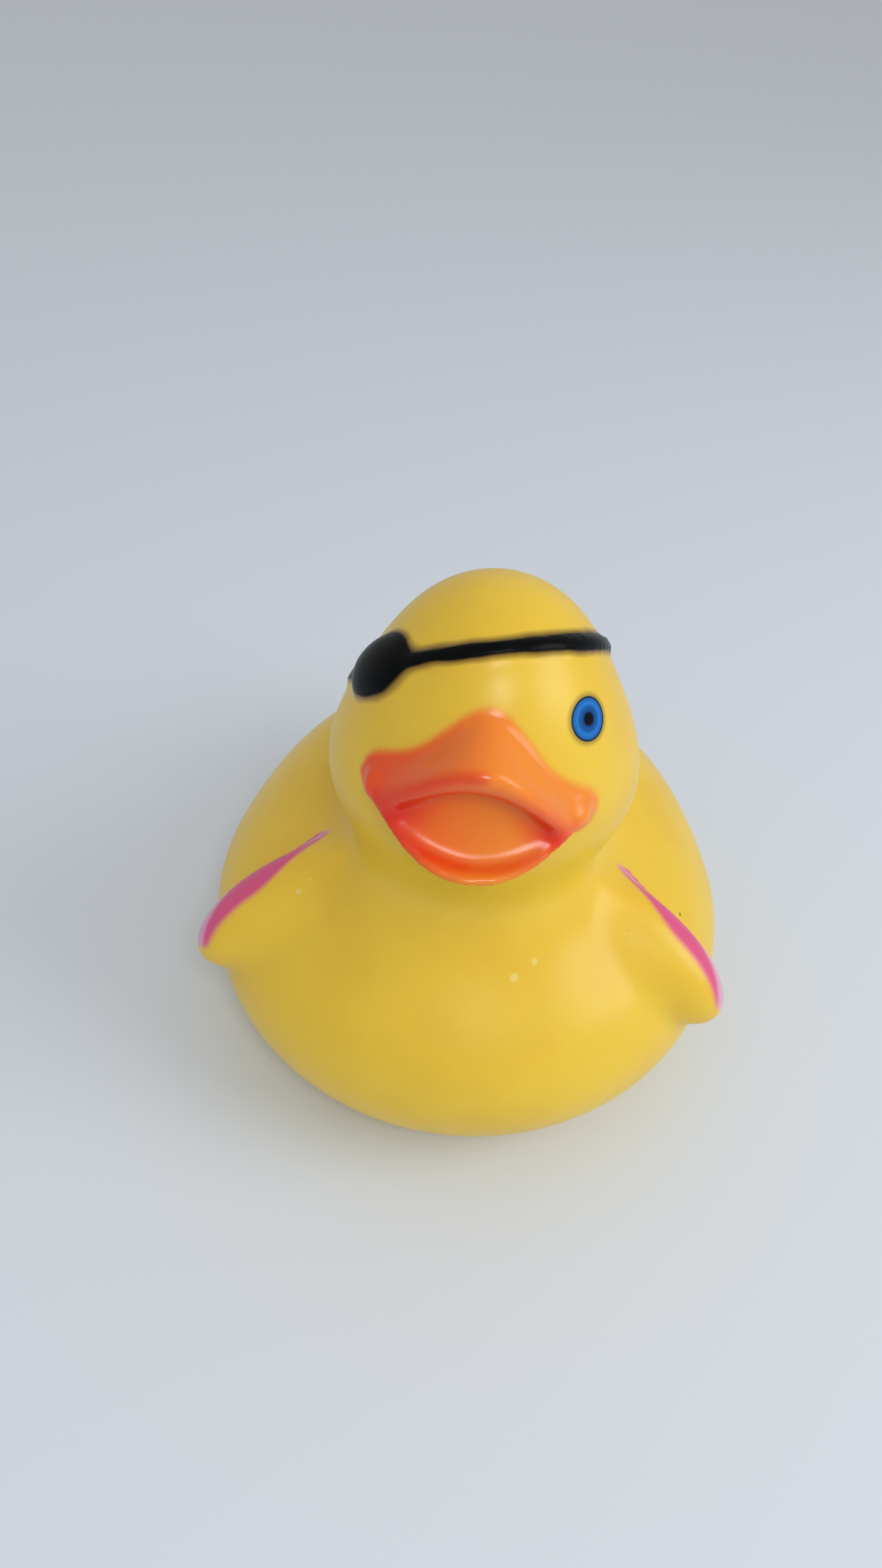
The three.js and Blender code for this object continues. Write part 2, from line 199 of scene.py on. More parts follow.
# Paint on the wings: each soft edge as its place and its width
WING_MARGIN = 0.6
WING_OUTLINE = (1.05, 0.08)
WING_BEHIND = (0.5, 0.3)
WING_UPPER_SIDE = (0.6, 1.2)
WING_FRONT = (-0.6, 1.2)
WING_FADE_TIP = (-1.6, -1.2)
WING_FADE_ROOT = 1.8
WING_FADE_LENGTH = (-3, 10)
# The sheen: a painted reflection, paler pink along the wings' upper edge towards the tips
SHEEN_START = -1.1
SHEEN_RISE = 2.8
SHEEN_LENGTH = (-9.5, 6)
SHEEN_FRONT = (-0.4, 0.8)
SHEEN_BEHIND = (0.2, 0.5)
WING_PAINT_EDGE = (0.0, 0.9)

# Eye, with its rings from the middle out
EYE_CENTRE = Vector((7.55, -17.1, 43.9))
EYE_SIDE = Vector((1.31, 1.12, -0.65))
EYE_UP = Vector((-0.2, 0.96, 1.4))
EYE_REACH = 3
EYE_EDGE = (1.03, 0.97)
EYE_RINGS = [
    (0.0, "04080C"),
    (0.2, "060E18"),
    (0.3, "174C8C"),
    (0.42, "1A5A9E"),
    (0.56, "2878C6"),
    (0.7, "2068B0"),
    (0.77, "0C1626"),
    (0.8, "100E0C"),
]
EYE_LAST_RING = EYE_RINGS[-1][0]
HALO_REACH = 1.32
HALO_STRENGTH = 0.6

# Black paint on the patch and the strap
PATCH_PAINT_SHARE = 0.9
STRAP_SPREAD = 0.03
BLACK_FILLET = 1.0
BLACK_REACH = 16.0
BLACK_EDGE = 0.15
BLACK_WANDER = 0.4
WANDER_SCALE = 0.4
FRINGE = (0.55, 0.05)
FRINGE_STRENGTH = 0.75

# Small marks on the breast and the wings, each with its place and radius
PALE_SCUFFS = [
    ((6.23, -21.66, 21.52), 0.4),
    ((4.69, -22.96, 20.72), 0.5),
    ((-14.06, -15.78, 22.08), 0.3),
    ((-14.83, -16.61, 21.26), 0.4),
    ((-15.88, -17.69, 20.03), 0.35),
]
DARK_SPECKS = [((14.38, -16.62, 21.36), 0.28), ((19.76, -10.7, 18.18), 0.22)]
SCUFF_STRENGTH = 0.4
SPECK_STRENGTH = 0.8
MARK_ROUGHNESS = 1.2
MARK_GRAIN = 1.4
MARK_CORE = 0.4

# Colours as they are seen
YELLOW = "EFC93C"
YELLOW_CLOUD = "EAC238"
PINK = "E0588A"
# Painted reflection: the pale sheen on the pink towards the wing tips
PINK_PAINTED_SHEEN = "DFA9C6"
# Painted shade with redder paint: the bill's orange on the duck's right, away from the lamp
BILL_PAINTED_SHADE = "F6521A"
BILL_ORANGE = "F68E2C"
# Red for the painted shade, with redder paint, in the bill's grooves
BILL_GROOVE_SHADE_RED = "E42E18"
HALO = "6A5A1C"
BLACK = "080A0C"
BLACK_FRINGE = "6B4A16"
SCUFF = "F6EAA8"
SPECK = "5A4A1E"
PLUG = "E6E2D6"
PLUG_CLOUD = "D6D1C2"
TABLE = "DEE6F0"
SKY = "F2F2F2"

# Finish of the painted vinyl
CLOUD_SCALE = 0.12
CLOUD_EDGE = (0.35, 0.7)
PLUG_CLOUD_SCALE = 0.3
GRAIN_SCALE = 4.0
GRAIN_DEPTH = 0.1
ROUGHNESS = 0.33
GLOSS = 0.11
BLACK_GLOSS_SHARE = 0.5
SPECULAR = 0.45
DARK_SPECULAR_LOSS = 0.38

# Floor and light, in metres and watts
FLOOR_SIZE = 6
WINDOW = {"place": (0.37, -0.08, 0.26), "size": 0.3, "watts": 0.7}
CEILING = {"place": (0.08, -0.32, 0.38), "size": 0.14, "watts": 0.5}
SKY_STRENGTH = 0.58

# Camera at the photograph's angle
SENSOR_WIDTH = 36
FOCAL_LENGTH = 27.06
NEAREST_SEEN = 0.005
CAMERA_PLACE = Vector((-0.12, -88.69, 96.17))
CAMERA_DOWN = 40.07
CAMERA_ASIDE = 2.4
CAMERA_ROLL = 5.1

# Places that follow from the sizes
MIDDLE_Y = BREAST_FRONT + BODY_SIZE[1] / 2
BODY_CENTRE = Vector((0, MIDDLE_Y, BODY_TOP - BODY_SIZE[2] / 2))
BODY_BACK = MIDDLE_Y + BODY_SIZE[1] / 2
RUMP_CENTRE = Vector((0, BODY_BACK - RUMP_INSET - RUMP_SIZE[1] / 2, RUMP_TOP - RUMP_SIZE[2] / 2))
TAIL_CENTRE = Vector((0, BODY_BACK - TAIL_INSET, RUMP_TOP - TAIL_DROP))
CROWN_CENTRE = Vector((0, MIDDLE_Y - HEAD_FORWARD, HEAD_TOP - CROWN_SIZE[2] / 2))
CHEEK_CENTRE = CROWN_CENTRE - Vector((0, 0, CHEEK_DROP))
NECK_FOOT = Vector((0, CROWN_CENTRE.y, BODY_CENTRE.z))
FACE_FRONT = CROWN_CENTRE.y - CROWN_SIZE[1] / 2
CORNER_HEIGHT = CROWN_CENTRE.z - CORNER_DROP
FLOOR_TOP = RECESS_DEPTH + WALL


def turned(x, y, z):
    """A turn about X, then Y, then Z, in degrees."""
    return Euler((math.radians(x), math.radians(y), math.radians(z))).to_matrix()


def eased(share):
    """A share kept between 0 and 1, with soft ends."""
    share = np.clip(share, 0, 1)
    return share * share * (3 - 2 * share)


def rising(value, start, width):
    return eased((value - start) / width)


def falling(value, end, width):
    return eased((end - value) / width)


# Forms: functions that take an array of points and give how far each lies outside a surface


def ellipsoid_form(centre, size, turn=None):
    radii = np.array(size) / 2
    back = np.array(turn or Matrix.Identity(3))
    middle = np.array(centre)

    def form(points):
        place = (points - middle) @ back
        near = np.linalg.norm(place / radii, axis=1)
        slope = np.linalg.norm(place / radii ** 2, axis=1)
        return near * (near - 1) / np.maximum(slope, 1e-6)

    return form


def rod_form(start, end, radius):
    foot = np.array(start)
    way = np.array(end) - foot

    def form(points):
        along = np.clip((points - foot) @ way / (way @ way), 0, 1)
        return np.linalg.norm(points - foot - along[:, None] * way, axis=1) - radius

    return form


def blended(first, second, radius):
    """Two forms run into each other. The radius of the fillet is a number, or a function of the points."""
    def form(points):
        fillet = radius(points) if callable(radius) else radius
        off_first = first(points)
        off_second = second(points)
        near = np.maximum(fillet - np.abs(off_first - off_second), 0)
        return np.minimum(off_first, off_second) - near ** 2 / (4 * fillet)

    return form


def both(first, second, radius):
    """What two forms share, with the edge between them rounded."""
    joined = blended(lambda points: -first(points), lambda points: -second(points), radius)
    return lambda points: -joined(points)


head_form = blended(
    ellipsoid_form(CROWN_CENTRE, CROWN_SIZE),
    ellipsoid_form(CHEEK_CENTRE, CHEEK_SIZE),
    HEAD_BLEND,
)
trunk_form = blended(
    ellipsoid_form(BODY_CENTRE, BODY_SIZE),
    ellipsoid_form(RUMP_CENTRE, RUMP_SIZE),
    RUMP_BLEND,
)
neck_form = rod_form(CHEEK_CENTRE, NECK_FOOT, NECK_WIDTH / 2)
tail_form = ellipsoid_form(TAIL_CENTRE, TAIL_SIZE, turned(TAIL_LIFT, 0, 0))
necked_form = blended(blended(trunk_form, neck_form, NECK_BLEND), head_form, NAPE_BLEND)
body_form = blended(necked_form, tail_form, TAIL_BLEND)

wing_centre = np.array((BODY_SIZE[0] / 2 - WING_INSET, MIDDLE_Y - WING_FORWARD, WING_HEIGHT))
wing_turn = turned(*WING_TURN)
wing_behind = np.array(wing_turn @ Vector((0, 1, 0)))
left_wing_form = both(
    ellipsoid_form(wing_centre, WING_SIZE, wing_turn),
    lambda points: (points - wing_centre) @ wing_behind - WING_BACK,
    WING_EDGE,
)


def folded(points):
    """Both sides of the duck laid over the left one."""
    return np.column_stack((np.abs(points[:, 0]), points[:, 1:]))


def shoulder(points):
    """The fillet around a wing, wide at the front of the shoulder, and narrow at the tip and behind."""
    high = np.clip((points[:, 2] - SHOULDER_LOW) / (SHOULDER_HIGH - SHOULDER_LOW), 0, 1)
    behind = (folded(points) - wing_centre) @ wing_behind
    front = np.clip((WING_BACK - behind) / SHOULDER_FRONT - SHOULDER_START, 0, 1)
    return WING_BLEND + (SHOULDER_BLEND - WING_BLEND) * eased(high * front)


winged_form = blended(body_form, lambda points: left_wing_form(folded(points)), shoulder)
duck_form = both(winged_form, lambda points: -points[:, 2] - BASE_DROP, BASE_EDGE)


# Tools of the bench


def deselect():
    for thing in bpy.context.view_layer.objects:
        thing.select_set(False)


def hold(piece):
    deselect()
    piece.select_set(True)
    bpy.context.view_layer.objects.active = piece


def named(name):
    """The piece just added, named, with its place, turn and size worked into its mesh."""
    piece = bpy.context.object
    piece.name = name
    bpy.ops.object.transform_apply(location=True, rotation=True, scale=True)
    return piece


def apply(piece, kind, **settings):
    """Adds a modifier with these settings and applies it."""
    modifier = piece.modifiers.new(kind.lower(), kind)
    for name, value in settings.items():
        setattr(modifier, name, value)
    hold(piece)
    bpy.ops.object.modifier_apply(modifier=modifier.name)


def ball(name, centre, size, turn=Matrix.Identity(3)):
    deselect()
    bpy.ops.mesh.primitive_uv_sphere_add(
        segments=BALL_STEPS,
        ring_count=BALL_STEPS // 2,
        radius=0.5,
        location=Vector(centre) * MM,
        rotation=turn.to_euler(),
        scale=Vector(size) * MM,
    )
    return named(name)


def rod(name, start, end, radius):
    way = Vector(end) - Vector(start)
    deselect()
    bpy.ops.mesh.primitive_cylinder_add(
        vertices=BALL_STEPS,
        radius=radius * MM,
        depth=way.length * MM,
        location=(Vector(start) + Vector(end)) / 2 * MM,
        rotation=way.to_track_quat("Z", "Y").to_euler(),
    )
    return named(name)


def loft(name, rows):
    """A closed body whose skin runs around through these rows of points, from end to end."""
    ring = rows + rows[:1]
    stations = len(rows[0]) - 1
    deselect()
    bpy.ops.mesh.primitive_grid_add(x_subdivisions=stations, y_subdivisions=len(rows), size=2)
    piece = bpy.context.object
    piece.name = name
    for vertex in piece.data.vertices:
        station = round((vertex.co.x + 1) / 2 * stations)
        around = round((vertex.co.y + 1) / 2 * len(rows))
        vertex.co = ring[around][station] * MM
    bpy.ops.object.mode_set(mode="EDIT")
    bpy.ops.mesh.select_all(action="SELECT")
    bpy.ops.mesh.remove_doubles(threshold=0.01 * MM)
    bpy.ops.mesh.fill_holes(sides=0)
    bpy.ops.mesh.select_all(action="SELECT")
    bpy.ops.mesh.normals_make_consistent(inside=False)
    bpy.ops.object.mode_set(mode="OBJECT")
    return piece


def join(name, pieces):
    deselect()
    for piece in pieces:
        piece.select_set(True)
    bpy.context.view_layer.objects.active = pieces[0]
    bpy.ops.object.join()
    joined = bpy.context.object
    joined.name = name
    return joined


def fuse(piece, cell):
    """Turns overlapping closed shells into one even skin."""
    apply(piece, "REMESH", mode="VOXEL", voxel_size=cell * MM)


def smooth(piece, rounds, **settings):
    apply(piece, "SMOOTH", factor=0.5, iterations=rounds, **settings)


def cut_off(piece, place, way, **settings):
    """Takes away what lies beyond a plane, and closes the cut."""
    hold(piece)
    bpy.ops.object.mode_set(mode="EDIT")
    bpy.ops.mesh.select_all(action="SELECT")
    bpy.ops.mesh.bisect(
        plane_co=np.array(place) * MM,
        plane_no=way,
        use_fill=True,
        clear_outer=True,
        **settings,
    )
    bpy.ops.object.mode_set(mode="OBJECT")


def points_of(piece):
    points = np.zeros(len(piece.data.vertices) * 3)
    piece.data.vertices.foreach_get("co", points)
    return points.reshape(-1, 3) / MM


def settle(piece, form, rounds=3):
    """Presses a piece onto a form, as clay over a core."""
    probe = 0.05
    least_slope = 0.25
    points = points_of(piece)
    for _ in range(rounds):
        depth = form(points)
        slope = np.zeros_like(points)
        for axis in range(3):
            step = np.zeros(3)
            step[axis] = probe
            slope[:, axis] = (form(points + step) - form(points - step)) / (2 * probe)
        points -= slope * (depth / np.maximum((slope ** 2).sum(axis=1), least_slope))[:, None]
    piece.data.vertices.foreach_set("co", (points * MM).ravel())
    piece.data.update()


# Camera
camera_data = bpy.data.cameras.new("camera")
camera_data.sensor_width = SENSOR_WIDTH
camera_data.lens = FOCAL_LENGTH
camera_data.clip_start = NEAREST_SEEN
camera = bpy.data.objects.new("camera", camera_data)
camera.location = CAMERA_PLACE * MM
camera.rotation_euler = (turned(90 - CAMERA_DOWN, 0, CAMERA_ASIDE) @ turned(0, 0, CAMERA_ROLL)).to_euler()
bpy.context.scene.collection.objects.link(camera)
bpy.context.scene.camera = camera

# Wings


def wing(name):
    piece = ball(name, wing_centre, WING_SIZE, wing_turn)
    cut_off(piece, wing_centre + WING_BACK * wing_behind, wing_behind)
    return piece


left_wing = wing("left_wing")
right_wing = wing("right_wing")
right_wing.data.transform(Matrix.Scale(-1, 4, (1, 0, 0)))
right_wing.data.flip_normals()

# Body, neck and head, with the wings
trunk = join("trunk", [
    ball("belly", BODY_CENTRE, BODY_SIZE),
    ball("rump", RUMP_CENTRE, RUMP_SIZE),
    ball("tail", TAIL_CENTRE, TAIL_SIZE, turned(TAIL_LIFT, 0, 0)),
    rod("neck", CHEEK_CENTRE, NECK_FOOT, NECK_WIDTH / 2),
    ball("cheeks", CHEEK_CENTRE, CHEEK_SIZE),
    ball("crown", CROWN_CENTRE, CROWN_SIZE),
    left_wing,
    right_wing,
])
fuse(trunk, ROUGH_CELL)
for _ in range(TRUNK_ROUNDS):
    settle(trunk, duck_form)
    smooth(trunk, TRUNK_SMOOTHING)
apply(trunk, "SUBSURF", levels=1, render_levels=1)
settle(trunk, duck_form)

# Bill: rows of points from corner to corner. A side runs from -1 to 1 across it, and a share is a side
# without its sign
bill_middle = Vector((0, FACE_FRONT, CORNER_HEIGHT + ROOT_ARCH / 2))
bill_turn = turned(0, BILL_ROLL, 0)


def askew(point):
    """The bill was moulded a little askew: its left corner hangs lower."""
    return bill_middle + bill_turn @ (Vector(point) - bill_middle) - Vector((0, 0, BILL_SINK))


def row(x, y, z, steps=BILL_STEPS):
    points = []
    for i in range(steps + 1):
        side = math.sin(math.pi * (i / steps - 0.5))
        points.append(askew((x(side), y(side), z(abs(side)))))
    return points


def dome(share, span=1):
    return math.cos(math.pi / 2 * min(share / span, 1))


def bell(share):
    """The root's outline from the front: a narrow peak on a round arch."""
    peak = 1 - eased(ROOT_STEEPNESS * share)
    return ROOT_PEAK * peak + (1 - ROOT_PEAK) * math.sqrt(max(1 - share * share, 0))


def plan(reach, inset=0):
    """The outline of the bill seen from above, as a height along Y for each place across it."""
    def along(side):
        outline = FACE_FRONT - reach + (reach + CORNER_INSET) * abs(side) ** PLAN_FULLNESS
        return outline + inset * dome(abs(side))

    return along


def wide(side):
    return BILL_HALF_WIDTH * side


def root(side):
    return FACE_FRONT + ROOT_INSET


def lip_height(share):
    return CORNER_HEIGHT + LIP_ARCH * dome(share, LIP_SPAN)


def mouth_height(share):
    return CORNER_HEIGHT + MOUTH_ARCH * dome(share, MOUTH_SPAN)


def rim_height(share):
    return CORNER_HEIGHT - RIM_DIP * dome(share, RIM_SPAN) + CORNER_RISE * share ** 4


def trough_height(share):
    return rim_height(share) - RIM_DROP * dome(share) + SPOON * share ** 2


def floor_row(share_down, steps=BILL_STEPS):
    """A row on the scooped floor of the lower bill, from 0 at the mouth to 1 in the trough at the rim."""
    def along(side):
        front = plan(RIM_REACH, RIM_INSET)(DISH_SHARE * side)
        return FACE_FRONT + (front - FACE_FRONT) * share_down

    def height(share):
        trough = trough_height(DISH_SHARE * share)
        mouth = CORNER_HEIGHT + FLOOR_RISE * dome(share * DISH_SHARE, MOUTH_SPAN)
        return trough + (mouth - trough) * (1 - share_down) ** FLOOR_CURVE

    return row(lambda side: DISH_SHARE * wide(side), along, height, steps)


upper_bill = loft("upper_bill", [
    row(wide, root, lambda share: CORNER_HEIGHT + ROOT_ARCH * bell(share)),
    row(wide, plan(LIP_REACH), lip_height),
    row(wide, plan(LIP_REACH, LIP_OVERHANG), mouth_height),
    row(wide, root, mouth_height),
])
apply(
    upper_bill,
    "BEVEL",
    width=LIP_EDGE * MM,
    segments=4,
    limit_method="ANGLE",
    angle_limit=math.radians(LIP_EDGE_ANGLE),
)
lower_bill = loft("lower_bill", [
    *(floor_row(i / FLOOR_ROWS) for i in range(FLOOR_ROWS + 1)),
    row(wide, plan(RIM_REACH, RIM_WIDTH), rim_height),
    row(wide, plan(RIM_REACH), lambda share: rim_height(share) - RIM_WIDTH * dome(share)),
    row(wide, plan(RIM_REACH, RIM_WIDTH), lambda share: rim_height(share) - LOWER_THICKNESS * dome(share)),
    row(lambda side: CHIN_SHARE * wide(side), root, lambda share: CORNER_HEIGHT - CHIN_DROP * dome(share)),
])
corner_places = [
    (side * (BILL_HALF_WIDTH - CORNER_RADIUS), FACE_FRONT + CORNER_BACK, CORNER_HEIGHT + CORNER_RISE)
    for side in (-1, 1)
]
corners = [ball("corner", askew(place), [2 * CORNER_RADIUS] * 3) for place in corner_places]
bill = join("bill", [upper_bill, lower_bill, *corners])
fuse(bill, SKIN_CELL)
smooth(bill, BILL_SMOOTHING)

# Eye patch and strap


def surface_along(form, start, way, halvings=40):
    """Where a line from a point inside meets a form."""
    near = 0
    far = BODY_SIZE[0]
    for _ in range(halvings):
        middle = (near + far) / 2
        if form(np.array([start + middle * way]))[0] < 0:
            near = middle
        else:
            far = middle
    return start + near * way


strap_normal = turned(0, -STRAP_TILT, 0) @ turned(-STRAP_SLOPE, 0, 0) @ Vector((0, 0, 1))
patch_way = turned(-PATCH_LIFT, 0, -PATCH_TURN) @ Vector((0, -1, 0))
patch_spot = surface_along(head_form, CROWN_CENTRE, patch_way)
patch_side = patch_way.cross(strap_normal).normalized()
patch_up = patch_side.cross(patch_way)
patch_turn = Matrix((patch_side, patch_way, patch_up)).transposed()
patch_centre = patch_spot + (PATCH_RISE - PATCH_SIZE[1] / 2) * patch_way
patch = ball("patch", patch_centre, PATCH_SIZE, patch_turn)
strap_centre = CROWN_CENTRE + (patch_spot - CROWN_CENTRE).dot(strap_normal) * strap_normal

deselect()
bpy.ops.mesh.primitive_cylinder_add(
    vertices=STRAP_STEPS,
    radius=CHEEK_SIZE[0] * MM,
    depth=STRAP_WIDTH * MM,
    end_fill_type="NOTHING",
    location=strap_centre * MM,
    rotation=strap_normal.to_track_quat("Z", "Y").to_euler(),
)
strap = named("strap")
apply(
    strap,
    "SHRINKWRAP",
    target=trunk,
    wrap_method="PROJECT",
    use_negative_direction=True,
    use_positive_direction=False,
    offset=STRAP_RISE * MM,
)
apply(strap, "SOLIDIFY", thickness=2 * STRAP_RISE * MM, offset=-1)


def nearness(points, piece, reach, softness):
    """1 on a piece, fading to 0 at its reach."""
    tree = BVHTree.FromPolygons(
        [v.co / MM for v in piece.data.vertices],
        [p.vertices for p in piece.data.polygons],
    )
    share = np.zeros(len(points))
    for i, point in enumerate(points):
        found = tree.find_nearest(Vector(point), reach)
        if found[0] is not None:
            share[i] = (reach - found[3]) / softness
    return eased(share)


# One skin: everything that was moulded together
bill_pattern = bill.copy()
bill_pattern.data = bill.data.copy()
skin = join("duck_skin", [trunk, bill, patch, strap])
fuse(skin, SKIN_CELL)
bill_seam = skin.vertex_groups.new(name="bill_seam")
for i, share in enumerate(nearness(points_of(skin), bill_pattern, BILL_SEAM_REACH, BILL_SEAM_REACH)):
    if share > 0:
        bill_seam.add([i], share, "REPLACE")
smooth(skin, BILL_SEAM_SMOOTHING, vertex_group=bill_seam.name)
smooth(skin, SKIN_SMOOTHING)
skin.vertex_groups.clear()
cut_off(skin, (0, 0, 0), (0, 0, -1), threshold=EXACT_CUT * MM)

# Base: a shallow recess, the hole for the squeaker, and the hollow above it
deselect()
bpy.ops.mesh.primitive_cylinder_add(vertices=RECESS_STEPS, radius=0.5 * MM, depth=2 * RECESS_DEPTH * MM)
recess = bpy.context.object
recess.data.transform(Matrix.Diagonal((RECESS_WIDTH, RECESS_LENGTH, 1, 1)))
recess.data.transform(Matrix.Translation((0, MIDDLE_Y * MM, 0)))
hole_foot = Vector((0, MIDDLE_Y, -RECESS_DEPTH / 2))
hole_top = Vector((0, MIDDLE_Y, FLOOR_TOP + WALL))
hole = rod("hole", hole_foot, hole_top, SQUEAKER_HOLE / 2)
hollow = ball("hollow", BODY_CENTRE, [side - 2 * WALL for side in BODY_SIZE])
cut_off(hollow, (0, 0, FLOOR_TOP), (0, 0, -1))
for piece in (hole, hollow):
    apply(recess, "BOOLEAN", operation="UNION", object=piece, solver="EXACT")
    bpy.data.objects.remove(piece)
apply(skin, "BOOLEAN", operation="DIFFERENCE", object=recess, solver="EXACT")
bpy.data.objects.remove(recess)

# Paint: how thickly each point of the skin is sprayed, from 0 to 1, with painted shade and a painted sheen
# among it


def spray(piece, name, share):
    layer = piece.data.attributes.new(name, "FLOAT", "POINT")
    layer.data.foreach_set("value", share.astype(np.float32))


def spray_wings(points):
    """The wings' upper edge and back, fading onto their front, with a pale painted reflection at the tips.
    """
    place = (folded(points) - wing_centre) @ np.array(wing_turn)
    up, behind, inward = place.T
    near = np.linalg.norm(place / (np.array(WING_SIZE) / 2 + WING_MARGIN), axis=1)
    on_wing = falling(near, *WING_OUTLINE) * rising(up, *WING_UPPER_SIDE)
    on_wing *= falling(behind, WING_BACK + WING_BEHIND[0], WING_BEHIND[1])
    tip_line = np.where(points[:, 0] < 0, *WING_FADE_TIP)
    fade_line = tip_line + (WING_FADE_ROOT - tip_line) * rising(inward, *WING_FADE_LENGTH)
    spray(skin, "wing_paint", on_wing * rising(behind, fade_line + WING_FRONT[0], WING_FRONT[1]))
    length = np.clip((inward - SHEEN_LENGTH[0]) / SHEEN_LENGTH[1], 0, 1)
    sheen_line = SHEEN_RISE * length + SHEEN_START
    sheen = rising(behind, sheen_line + SHEEN_FRONT[0], SHEEN_FRONT[1])
    sheen *= falling(behind, WING_BACK + SHEEN_BEHIND[0], SHEEN_BEHIND[1])
    spray(skin, "wing_painted_sheen", sheen)


def bill_line(span, outline, height, back, below):
    """A fine row of points along an edge of the bill, a little behind it and below it."""
    return row(
        lambda side: span * wide(side),
        lambda side: outline(span * side) + back,
        lambda share: height(span * share) - below,
        LINE_STEPS,
    )


def line_share(points, line, strength, reach):
    """A strength on a line of points, fading to 0 at its reach."""
    share = np.zeros(len(points))
    spots = np.array(line)
    low = spots.min(axis=0) - reach
    high = spots.max(axis=0) + reach
    close = np.where(np.all((points > low) & (points < high), axis=1))[0]
    gaps = np.linalg.norm(points[close][:, None] - spots[None], axis=2).min(axis=1)
    share[close] = 1 - gaps / reach
    return strength * eased(share)


def spray_red_shade(points):
    """Red paint and painted shade in the mouth, the lip's crease and the dish's edge, more on the duck's
    right.
    """
    lip_outline = plan(LIP_REACH, LIP_OVERHANG)
    mouth = bill_line(MOUTH_SPAN, lip_outline, mouth_height, MOUTH_LINE_BACK, MOUTH_LINE_BELOW)
    crease = bill_line(CREASE_SHARE, plan(LIP_REACH), lip_height, CREASE_LINE_BACK, CREASE_LINE_BELOW)
    dish = floor_row(1, LINE_STEPS)
    half = len(dish) // 2
    spray(skin, "red_shade_paint", np.maximum.reduce([
        line_share(points, mouth, *MOUTH_SHADE_RED),
        line_share(points, crease[:half], *CREASE_SHADE_RED),
        line_share(points, dish[:half], *DISH_SHADE_RED_RIGHT),
        line_share(points, dish[half:], *DISH_SHADE_RED_LEFT),
    ]))


skin_points = points_of(skin)
spray(skin, "bill_paint", nearness(skin_points, bill_pattern, BILL_PAINT_REACH, BILL_PAINT_SOFTNESS))
bpy.data.objects.remove(bill_pattern)
spray_wings(skin_points)
spray_red_shade(skin_points)
hold(skin)
bpy.ops.object.shade_smooth_by_angle(angle=math.radians(SHARP_ANGLE))

# Materials


def rgb(code):
    """A colour as it is seen, such as F0C93A, for a shader."""
    seen = [int(code[at:at + 2], 16) / 255 for at in (0, 2, 4)]
    return [part / 12.92 if part <= 0.04045 else ((part + 0.055) / 1.055) ** 2.4 for part in seen] + [1]


def new_material(name):
    """A material and its shader."""
    material = bpy.data.materials.new(name)
    material.use_nodes = True
    return material, material.node_tree.nodes["Principled BSDF"]


def dress(piece, material):
    piece.data.materials.clear()
    piece.data.materials.append(material)


def node(tree, kind, inputs=None, **settings):
    """Adds a node. Each input is a value, or the socket that feeds it."""
    made = tree.nodes.new(kind)
    for name, value in settings.items():
        setattr(made, name, value)
    for name, value in (inputs or {}).items():
        if isinstance(value, bpy.types.NodeSocket):
            tree.links.new(value, made.inputs[name])
        else:
            made.inputs[name].default_value = value
    return made


def math_node(tree, operation, *values):
    return node(tree, "ShaderNodeMath", dict(enumerate(values)), operation=operation).outputs[0]


def vector_node(tree, operation, *values):
    return node(tree, "ShaderNodeVectorMath", dict(enumerate(values)), operation=operation).outputs


def distance_node(tree, point, centre):
    return vector_node(tree, "DISTANCE", point, centre)["Value"]


def dot_node(tree, arrow, way):
    return vector_node(tree, "DOT_PRODUCT", arrow, way)["Value"]


def noise_node(tree, point, scale, detail):
    inputs = {"Vector": point, "Scale": scale, "Detail": detail}
    return node(tree, "ShaderNodeTexNoise", inputs).outputs["Fac"]


def layer_node(tree, name):
    return node(tree, "ShaderNodeAttribute", attribute_name=name).outputs["Fac"]


def across_node(tree, point):
    return node(tree, "ShaderNodeSeparateXYZ", {0: point}).outputs["X"]


def soft_step(tree, value, at_0, at_1):
    """A smooth rise from 0 to 1 between two values, and level beyond them."""
    inputs = {"Value": value, "From Min": at_0, "From Max": at_1}
    return node(tree, "ShaderNodeMapRange", inputs, interpolation_type="SMOOTHSTEP").outputs["Result"]


def mixed(tree, share, first, second):
    return node(tree, "ShaderNodeMix", {0: share, 6: first, 7: second}, data_type="RGBA").outputs[2]


def wandering(tree, noise, amount):
    """A noise about 0, to move an edge by."""
    return math_node(tree, "MULTIPLY", math_node(tree, "SUBTRACT", noise, 0.5), amount)


def oval_radius(tree, point, centre, side, up):
    """0 in the middle of an oval, 1 on its edge. Side and up are its half widths, as vectors."""
    from_centre = vector_node(tree, "SUBTRACT", point, centre)[0]
    squares = []
    for half_width in (side, up):
        share = dot_node(tree, from_centre, half_width / half_width.length_squared)
        squares.append(math_node(tree, "MULTIPLY", share, share))
    return math_node(tree, "SQRT", math_node(tree, "ADD", *squares))


def mottle_group():
    """Two near shades in soft clouds, as on moulded vinyl."""
    group = bpy.data.node_groups.new("mottle", "ShaderNodeTree")
    for name, kind in (("Place", "NodeSocketVector"), ("Scale", "NodeSocketFloat"),
                       ("First", "NodeSocketColor"), ("Second", "NodeSocketColor")):
        group.interface.new_socket(name, in_out="INPUT", socket_type=kind)
    group.interface.new_socket("Colour", in_out="OUTPUT", socket_type="NodeSocketColor")
    given = node(group, "NodeGroupInput").outputs
    cloud = noise_node(group, given["Place"], given["Scale"], 3)
    share = soft_step(group, cloud, *CLOUD_EDGE)
    node(group, "NodeGroupOutput", {"Colour": mixed(group, share, given["First"], given["Second"])})
    return group


mottle = mottle_group()


def mottled(tree, place, scale, first, second):
    inputs = {"Place": place, "Scale": scale, "First": rgb(first), "Second": rgb(second)}
    return node(tree, "ShaderNodeGroup", inputs, node_tree=mottle).outputs["Colour"]


